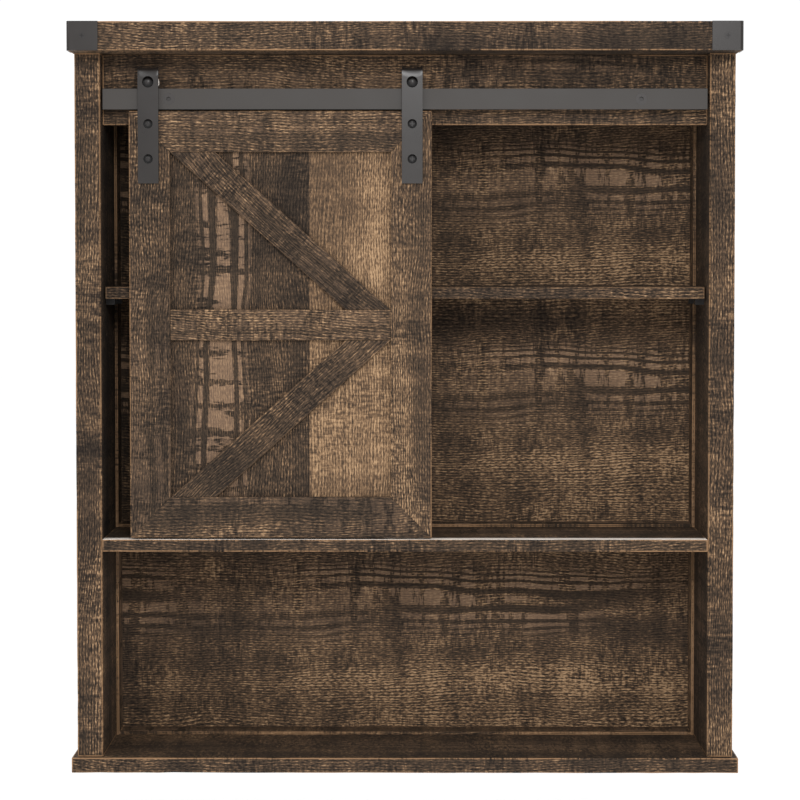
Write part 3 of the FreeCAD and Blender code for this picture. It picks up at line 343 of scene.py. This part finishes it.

# %% [markdown]
# ## Painted iron, plain steel and the pale strip
# The track, the straps and the corner plates are powder coated: charcoal, faintly warm, with a
# skin like fine orange peel that blurs reflections. That skin is a small bump plus a little
# wander in roughness. The screws are blackened instead, with painted light on their heads: grey
# where a head faces forward, towards the lamps, and a black ring of painted shade round its
# sides, told apart by which way the surface faces. Zinc parts are out of sight but still get
# brushed streaks, and the glide strip and the rollers are a satin off-white plastic.


# %% Painted and blackened iron
def painted_iron(name, colour, roughness):
    """Powder coat: an orange-peel bump, and tone and gloss that wander a little."""
    graph = Graph(name)
    at = graph.object_place()
    skin = graph.noise(at, (1500.0, 1500.0, 1500.0), detail=2.0)
    clouds = graph.noise(at, (30.0, 30.0, 30.0), detail=3.0)
    dull, bright = (tuple(value * share for value in colour) for share in (0.88, 1.14))
    tint = graph.mix(clouds, (*dull, 1.0), (*bright, 1.0))
    return graph.surface({"Base Color": tint, "Roughness": clouds * 0.14 + (roughness - 0.07),
                          "Normal": graph.bump(0.25, 0.1 * MM, skin)},
                         **{"Specular IOR Level": 0.3})


def screw_black(name):
    """Blackened screws and bolts, with painted light: grey where a head faces forward, black round
    its sides as painted shade.
    """
    graph = Graph(name)
    _, outward, _ = graph.parts(graph.node("ShaderNodeNewGeometry", out=1))
    rubs = graph.noise(graph.object_place(), (900.0, 900.0, 900.0), detail=2.0)
    # Painted light and shade: faces turned forward go grey, the sides of a head stay black; the
    # noise only makes the grey uneven.
    top = graph.step(graph.numbers("ABSOLUTE", outward), 0.84, 0.99) * (rubs * 0.6 + 0.7)
    tint = graph.mix(top, (*linear(5, 4, 4), 1.0), (*linear(38, 35, 34), 1.0))
    return graph.surface({"Base Color": tint, "Roughness": rubs * 0.12 + 0.26},
                         **{"Specular IOR Level": 0.25})


paint = painted_iron("Powder coat", linear(48, 44, 41), 0.5)
strap_paint = painted_iron("Powder coat, straps", linear(32, 28, 26), 0.3)
bolt_paint = painted_iron("Powder coat, track bolts", linear(42, 38, 36), 0.42)
blackened = screw_black("Black screws")
print("made", ", ".join(each.name for each in (paint, strap_paint, bolt_paint, blackened)))


# %% Zinc, plastic and beech
def streaked(name, stretch, detail, dark, light, gloss, **plain):
    """A plain material with streaks in tone and gloss; gloss is a spread and a lowest value."""
    graph = Graph(name)
    streaks = graph.noise(graph.object_place(), stretch, detail=detail)
    tint = graph.mix(streaks, (*dark, 1.0), (*light, 1.0))
    return graph.surface({"Base Color": tint, "Roughness": streaks * gloss[0] + gloss[1]},
                         **plain)


def pale_plastic(name):
    """Off-white plastic with faint rub marks."""
    return streaked(name, (40.0, 900.0, 900.0), 3.0, linear(232, 220, 208),
                    linear(246, 238, 230), (0.2, 0.35))


ZINC = (0.55, 0.55, 0.54)
zinc_steel = streaked("Zinc steel", (60.0, 60.0, 2500.0), 2.0,
                      tuple(value * 0.75 for value in ZINC), ZINC, (0.2, 0.3), Metallic=1.0)
beech = streaked("Beech dowels", (300.0, 900.0, 900.0), 2.0, linear(176, 138, 98),
                 linear(214, 180, 138), (0.2, 0.5))
print("made", zinc_steel.name, "and", beech.name)

# %% One finish for each slot
FINISHES = {
    "barnwood": barn_board("Barn board", tone=-0.06),
    "barnwood_back": barn_board("Barn board, back", tone=0.01, figure=1.0, wear=0.9),
    "door_planks": barn_board("Door planks", tone=-0.06, figure=0.85, wear=0.5, reach=0.034,
                              tune=plank_tones),
    "door_trim": barn_board("Barn board, door frame", tone=-0.04, figure=0.2, wear=0.8),
    "black_iron": paint,
    "strap_iron": strap_paint,
    "black_screw": blackened,
    "plain_steel": zinc_steel,
    "nylon_roller": pale_plastic("Nylon rollers"),
    "pale_strip": pale_plastic("Glide strip"),
    "dowel_wood": beech,
}
SLOTS = {part["node"]: part["material_slot"] for part in frame["record"]["subparts"]}

# The track's bolts share its slot, but their paint is a little darker, so their heads stand apart
# from the track.
BY_NODE = {"rail_bolts": bolt_paint}
for node_name, node in frame["nodes"].items():
    node.data.materials.clear()
    node.data.materials.append(BY_NODE.get(node_name, FINISHES[SLOTS[node_name]]))
print(len(FINISHES) + len(BY_NODE), "finishes on", len(SLOTS), "nodes")

# %% [markdown]
# ## Boards with worn arrises
# A sawn board is never a sharp box. Its arrises are knocked back a little, unevenly, and each one
# catches a thread of light. A Bevel modifier gives an even round, which looks machined, so each
# board is copied from its node, cut into short stations along its grain, bevelled, and then the
# points on the arrises are pressed in by a slow noise. The copy stays inside its node's box, it
# keeps every hole and rabbet, and it takes the node's place.

# %% Board axes
AXES = {"x": Vector((1, 0, 0)), "y": Vector((0, 1, 0)), "z": Vector((0, 0, 1))}


def board_axes(along, through):
    """The board's own axes as the rows of a matrix: along the grain, across it and through."""
    across = through.cross(along).normalized()
    return Matrix((along, across, through))


def corners_of(node_name):
    """All the points of a node."""
    return [vertex.co.copy() for vertex in frame["nodes"][node_name].data.vertices]


def extent(points, axes):
    """The middle and half size of points, measured along a board's own axes."""
    turned = [axes @ point for point in points]
    low = Vector(min(point[i] for point in turned) for i in range(3))
    high = Vector(max(point[i] for point in turned) for i in range(3))
    return (low + high) / 2, (high - low) / 2


side_half = extent(corners_of("left_side"), board_axes(AXES["z"], AXES["x"]))[1]
print("a side is", " by ".join(f"{2 * v / MM:.0f}" for v in side_half), "mm along its own axes")


# %% Copy, cut and bevel
STATION = 14 * MM
SHORTEST_ARRIS = 5 * MM


def copy_of(node_name):
    """A node's mesh with its triangles joined up again into whole faces."""
    mesh = bmesh.new()
    mesh.from_mesh(frame["nodes"][node_name].data)
    bmesh.ops.remove_doubles(mesh, verts=mesh.verts, dist=1e-6)
    bmesh.ops.dissolve_limit(mesh, angle_limit=math.radians(0.5), verts=mesh.verts,
                             edges=mesh.edges)
    return mesh


def slice_mesh(mesh, place, direction):
    """Cut every face along a plane, without taking anything away."""
    bmesh.ops.bisect_plane(mesh, geom=[*mesh.verts, *mesh.edges, *mesh.faces], dist=1e-6,
                           plane_co=place, plane_no=direction)


def cut_stations(mesh, axis, middle, half):
    """Slice the mesh across its grain, so that its long arrises gain points."""
    count = max(2, round(2 * half.x / STATION))
    for step in range(1, count):
        slice_mesh(mesh, axis * (middle.x - half.x + 2 * half.x * step / count), axis)


def bevel_arrises(mesh, shortest, width, profile):
    """Round the edges where two faces meet at a real corner, but for very short ones."""
    found = []
    for edge in mesh.edges:
        if len(edge.link_faces) == 2 and edge.calc_length() > shortest:
            if edge.calc_face_angle(0.0) > math.radians(40):
                found.append(edge)
    bmesh.ops.bevel(mesh, geom=found, offset=width, segments=2, profile=profile,
                    affect="EDGES", clamp_overlap=True)


def mesh_data(mesh, name):
    """Turn a working mesh into mesh data made of triangles."""
    bmesh.ops.triangulate(mesh, faces=mesh.faces)
    data = bpy.data.meshes.new(name)
    mesh.to_mesh(data)
    mesh.free()
    return data


def take_place(data, node_name, body):
    """Put a piece in the place of its node, on a body and with the node's finish."""
    piece = bpy.data.objects.new(data.name, data)
    bpy.context.collection.objects.link(piece)
    data.materials.append(FINISHES[SLOTS[node_name]])
    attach(piece, body)
    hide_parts(node_name)
    return piece


print(f"a side is cut every {2 * side_half.x / round(2 * side_half.x / STATION) / MM:.1f} mm")


# %% Wear a board
CLOSE_TO_FACE = 1.2 * MM


def press_arrises(mesh, axes, middle, half, depth, seed):
    """Push points on an arris inwards by a slow noise, and a few of them further."""
    for vertex in mesh.verts:
        place = axes @ vertex.co - middle
        room = [half[i] - abs(place[i]) for i in range(3)]
        close = [i for i in range(3) if room[i] < CLOSE_TO_FACE]
        if len(close) < 2 or place.length == 0:
            continue
        rub = noise.noise(Vector((place.x * 38, place.y * 30, seed * 7.3)))
        nick = max(0.0, noise.noise(Vector((place.x * 110, place.z * 60, seed * 3.1))) - 0.3)
        push = depth * (0.5 + 0.5 * rub) + depth * 2.2 * nick
        for i in close:
            if i != 0:
                place[i] -= math.copysign(push, place[i])
        vertex.co = axes.transposed() @ (place + middle)


def write_grain(data, axes, middle, half, offset, lift, rub):
    """Store for the shader where each corner lies, how pale the board is and how rubbed."""
    places = [axes @ data.vertices[loop.vertex_index].co - middle for loop in data.loops]
    stored = {"grain": [place + offset for place in places], "local": places,
              "half": [half] * len(places)}
    for name, vectors in stored.items():
        layer = data.attributes.new(name, "FLOAT_VECTOR", "CORNER")
        layer.data.foreach_set("vector", [number for vector in vectors for number in vector])
    rubs = [rub(axes.transposed() @ (place + middle)) for place in places]
    for name, numbers in (("lift", [lift] * len(places)), ("rub", rubs)):
        layer = data.attributes.new(name, "FLOAT", "CORNER")
        layer.data.foreach_set("value", numbers)


def rubbed_all_over(place):
    """Every arris is rubbed alike."""
    return 1.0


def worn_board(node_name, along, through, lift=0.0, bevel=0.8 * MM, depth=0.35 * MM,
               offset=None, levels=(), rub=rubbed_all_over):
    """Replace a node by a worn copy of itself, cut at any levels that its finish needs."""
    seed = len(made_boards) + 1
    axes = board_axes(along, through)
    middle, half = extent(corners_of(node_name), axes)
    mesh = copy_of(node_name)
    cut_stations(mesh, along, middle, half)
    for level in levels:
        slice_mesh(mesh, (0, 0, level), (0, 0, 1))
    bevel_arrises(mesh, SHORTEST_ARRIS, bevel, 0.6)
    press_arrises(mesh, axes, middle, half, depth, seed)
    data = mesh_data(mesh, f"worn_{node_name}")
    shift = offset or Vector((seed * 1.37, seed * 0.011 % 0.05 - 0.02, seed * 0.457))
    write_grain(data, axes, middle, half, shift, lift, rub)
    board = take_place(data, node_name, "door" if node_name.startswith("door") else "carcass")
    made_boards[node_name] = board
    return board


made_boards = {}
print("wear reaches", round(CLOSE_TO_FACE / MM, 1), "mm in from an arris")

# %% [markdown]
# ## The carcass boards
# Grain follows the length of every board: up the sides, across the top, the bottom and the
# shelves. Each call names the grain direction and the direction through the board's thickness.

# %% Faces painted darker as shade
def paint_shade_on_faces(board, outward, amount):
    """Darken the faces of a board that look one way: painted shade for faces that lie inside a bay.
    """
    lift = board.data.attributes["lift"].data
    for face in board.data.polygons:
        if face.normal.dot(outward) > 0.9:
            for loop in face.loop_indices:
                lift[loop].value -= amount


def barely_rubbed(place):
    """Arrises set back behind the door are hardly touched."""
    return 0.35


print("set-back arrises are rubbed to", barely_rubbed(None), "of a front one")


# %% Sides, top, bottom, shelves and header
# Painted shade: the sides' inner faces and the bottom board's top face are darkened, as the bays'
# shade.
paint_shade_on_faces(worn_board("left_side", AXES["z"], AXES["x"]), AXES["x"], 0.08)
paint_shade_on_faces(worn_board("right_side", AXES["z"], AXES["x"]), -AXES["x"], 0.08)
worn_board("top_board", AXES["x"], AXES["z"], 0.02)
paint_shade_on_faces(worn_board("bottom_board", AXES["x"], AXES["z"], -0.03), AXES["z"], 0.02)
worn_board("fixed_shelf", AXES["x"], AXES["z"])
worn_board("adjustable_shelf", AXES["x"], AXES["z"], -0.08, rub=barely_rubbed)
worn_board("header_board", AXES["x"], AXES["y"])
worn_board("hanging_rail", AXES["x"], AXES["y"], offset=Vector((0.4, 0.09, 0.2)))
print("carcass boards:", ", ".join(made_boards))

# %% [markdown]
# ## The lining strips and the back panel
# Thin strips line the back corners of both bays. Their long front arrises are rubbed pale. The
# back panel is one sheet, but it was printed with a pattern that comes round again in each
# bay, so the bays get their own distance from the cathedral figure's middle: the grain
# attribute is stored per corner of a face, which lets it jump where a shelf hides the jump.

# %% Lining strips
for strip in sorted(name for name in frame["nodes"] if name.startswith("back_strip")):
    low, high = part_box(strip)
    tall = high.z - low.z > high.x - low.x
    worn_board(strip, AXES["z"] if tall else AXES["x"], AXES["x"] if tall else AXES["z"],
               bevel=0.4 * MM, depth=0.15 * MM)
print(sum(name.startswith("back_strip") for name in made_boards), "lining strips")

# %% Back panel
shelf_levels = [sum(v.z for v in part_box(name)) / 2 for name in ("fixed_shelf", "adjustable_shelf")]
back = worn_board("back_panel", AXES["x"], AXES["y"], bevel=0.4 * MM, depth=0.1 * MM,
                  levels=shelf_levels)
print("the back panel has", len(back.data.polygons), "triangles")

# %% The figure comes round again in each bay
BAYS = [("lower", 131 * MM, 0.81), ("middle", 144 * MM, 0.62), ("upper", 104 * MM, 0.62)]


def print_by_bay(board):
    """Centre the arches at their own height in each bay, and say where their print starts."""
    floors = [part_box("bottom_board")[1].z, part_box("fixed_shelf")[1].z,
              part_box("adjustable_shelf")[1].z]
    grain = board.data.attributes["grain"].data
    for face in board.data.polygons:
        bay = sum(face.center.z > level for level in shelf_levels)
        _, height, start = BAYS[bay]
        for loop in face.loop_indices:
            place = board.data.vertices[board.data.loops[loop].vertex_index].co
            grain[loop].vector = (place.x + start, floors[bay] + height - place.z, 0.3)


print_by_bay(back)
print("the back's figure changes at", [round(level / MM) for level in shelf_levels], "mm")

# %% [markdown]
# ## The door
# The door is a plank panel with a mitred frame, a middle bar and two braces laid on its face.
# The braces' grain runs at a slant, so their direction is taken from their own points: from the
# middle of the lowest edge to the middle of the highest one.


# %% Door panel, frame and bar
door_low, door_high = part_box("door_panel")


def rubbed_at_the_sides(place):
    """Hands rub the door's two long outer arrises; the inner ones stay dark."""
    reach = min(place.x - door_low.x, door_high.x - place.x)
    return 1.0 if reach < 4 * MM else 0.12


worn_board("door_panel", AXES["z"], AXES["y"], bevel=0.6 * MM, depth=0.2 * MM,
           offset=Vector((0.78, 0.056, 0.1)))
for stile, lift in (("door_stile_left", -0.07), ("door_stile_right", 0.05)):
    worn_board(stile, AXES["z"], AXES["y"], lift, 0.7 * MM, 0.25 * MM, rub=rubbed_at_the_sides)
for rail, lift in (("door_rail_top", 0.0), ("door_rail_bottom", -0.03), ("door_mid_bar", -0.03)):
    worn_board(rail, AXES["x"], AXES["y"], lift, 0.7 * MM, 0.25 * MM, rub=rubbed_at_the_sides)
print(f"the door is {(door_high.x - door_low.x) / MM:.0f} mm wide, its plank panel included")


# %% Braces
def brace_direction(node_name):
    """The slant of a brace, from the middle of its lowest edge to that of its highest."""
    points = corners_of(node_name)
    middles = []
    for level in (min(p.z for p in points), max(p.z for p in points)):
        row = [p.x for p in points if abs(p.z - level) < 0.1 * MM]
        middles.append(Vector(((min(row) + max(row)) / 2, 0, level)))
    return (middles[1] - middles[0]).normalized()


for brace in ("door_brace_lower", "door_brace_upper"):
    slant = brace_direction(brace)
    worn_board(brace, slant, AXES["y"], -0.02, 0.7 * MM, 0.2 * MM, rub=rubbed_at_the_sides)
    print(brace, "leans", round(math.degrees(math.atan2(slant.z, slant.x))), "degrees")

# %% [markdown]
# ## Softened iron
# Bent and cut steel also has small rounds on its edges, which show as thin bright lines along a
# strap. The same copy-and-bevel idea is used, with an even bevel and no wear.


# %% Copy and bevel a metal node
def softened(node_name, body, width, shape=None):
    """Replace a metal node by a copy with small even rounds on its edges.

    Only the rounds and bends are shaded smoothly: a flat face that shared its neighbours'
    normals would show a gradient that the real strap doesn't have.
    """
    mesh = copy_of(node_name)
    if shape is not None:
        shape(mesh)
    bevel_arrises(mesh, 0.3 * MM, width, 0.7)
    data = mesh_data(mesh, f"soft_{node_name}")
    for face in data.polygons:
        face.use_smooth = max(abs(number) for number in face.normal) < 0.9995
    piece = take_place(data, node_name, body)
    print(piece.name, len(data.polygons), "faces")


softened("track_rail", "carcass", 0.35 * MM)
for end in ("left", "right"):
    softened(f"corner_plate_{end}", "carcass", 0.35 * MM)

# %% [markdown]
# ## The dished tops of the straps
# Where a flat bar is bent back over its roller, the outside of the bend stretches and its middle
# sinks, so the top of each strap is slightly dished and catches the light at its two corners. The
# copy is sliced into a fine grid there, and the grid's points are moved back.

# %% The dished top of a strap
DISH = 9 * MM
HOLLOW = 2 * MM
LEAN = 1.5 * MM
LEVELS, LEVEL_STEP, COLUMNS = 11, 0.9 * MM, 8


def dish_top(mesh):
    """Lean the top of a strap back, sooner in the middle than at its edges, as the bend left it."""
    top = max(vertex.co.z for vertex in mesh.verts)
    left = min(vertex.co.x for vertex in mesh.verts)
    right = max(vertex.co.x for vertex in mesh.verts)
    middle, half = (left + right) / 2, (right - left) / 2
    for step in range(LEVELS):
        level = top - DISH - HOLLOW + (step - 1) * LEVEL_STEP
        slice_mesh(mesh, (0, 0, level), (0, 0, 1))
    for step in range(1, COLUMNS):
        slice_mesh(mesh, (left + (right - left) * step / COLUMNS, 0, 0), (1, 0, 0))
    front = min(vertex.co.y for vertex in mesh.verts)
    for vertex in mesh.verts:
        hollow = HOLLOW * (1 - ((vertex.co.x - middle) / half) ** 2)
        rise = max(0.0, vertex.co.z - (top - DISH - hollow)) / DISH
        if vertex.co.y < front + 4 * MM:
            vertex.co.y += LEAN * rise ** 2


for end in ("left", "right"):
    softened(f"hanger_strap_{end}", "door", 0.4 * MM, shape=dish_top)

# %% [markdown]
# ## The studio
# The cabinet is shown against white, so the floor is a pale sheet some way below it and the
# world is white too. A white world is itself a large soft light: it darkens corners and bays by
# how little of it they see. A soft lamp above and in front gives the boards their direction, and
# a weaker one at the left keeps the straps' edges from going flat.

# %% Floor
FLOOR_DROP = 0.30
FLOOR_REACH = 14.0
level = cad_low.z - FLOOR_DROP
corners = [(x * FLOOR_REACH, y * FLOOR_REACH, level)
           for x, y in ((-1, -1), (1, -1), (1, 1), (-1, 1))]
floor_mesh = bpy.data.meshes.new("floor")
floor_mesh.from_pydata(corners, [], [(0, 1, 2, 3)])
floor = bpy.data.objects.new("floor", floor_mesh)
bpy.context.collection.objects.link(floor)
floor_mesh.materials.append(streaked("Pale floor", (3.0, 3.0, 3.0), 2.0, (0.95,) * 3, (0.98,) * 3,
                                     (0.0, 0.9)))
print(f"the floor lies {FLOOR_DROP / MM:.0f} mm below the cabinet's foot")

# %% World and lamps
world = bpy.data.worlds.new("studio")
bpy.context.scene.world = world
world.use_nodes = True
sky = world.node_tree.nodes["Background"].inputs
sky["Color"].default_value = (1.0, 1.0, 1.0, 1.0)
sky["Strength"].default_value = 1.06


def lamp(name, place, target, size, power):
    """A square soft box that looks at a point."""
    light = bpy.data.lights.new(name, "AREA")
    light.shape = "SQUARE"
    light.size = size
    light.energy = power
    holder = bpy.data.objects.new(name, light)
    holder.location = place
    holder.rotation_euler = (target - Vector(place)).to_track_quat("-Z", "Y").to_euler()
    bpy.context.collection.objects.link(holder)


centre = (cad_low + cad_high) / 2
lamp("key", (0.15, -2.4, 0.62), centre, 0.6, 30)
lamp("left", (-1.7, -2.0, 0.7), centre, 1.0, 8)
bpy.context.scene.view_settings.view_transform = "Standard"
print("the world is lit at", sky["Strength"].default_value, "with two lamps")

# %% [markdown]
# ## The camera
# It stands a little above the middle of the cabinet, about two and a half metres out, and looks
# straight at the front with a slight downward tilt. A long lens keeps the boards nearly parallel.

# %% Camera
camera_data = bpy.data.cameras.new("camera")
camera_data.sensor_width = 36.0
camera_data.lens = 112.9
camera_data.shift_y = -0.055
camera_data.dof.use_dof = False
camera = bpy.data.objects.new("camera", camera_data)
camera.location = (0.0038, -2.5805, -0.1651)
DOWN, ASIDE = 0.0402, 0.0035
camera.rotation_euler = (math.pi / 2 - DOWN, 0.0, ASIDE)
bpy.context.collection.objects.link(camera)
bpy.context.scene.camera = camera
print(f"the camera looks down by {math.degrees(DOWN):.1f} degrees")
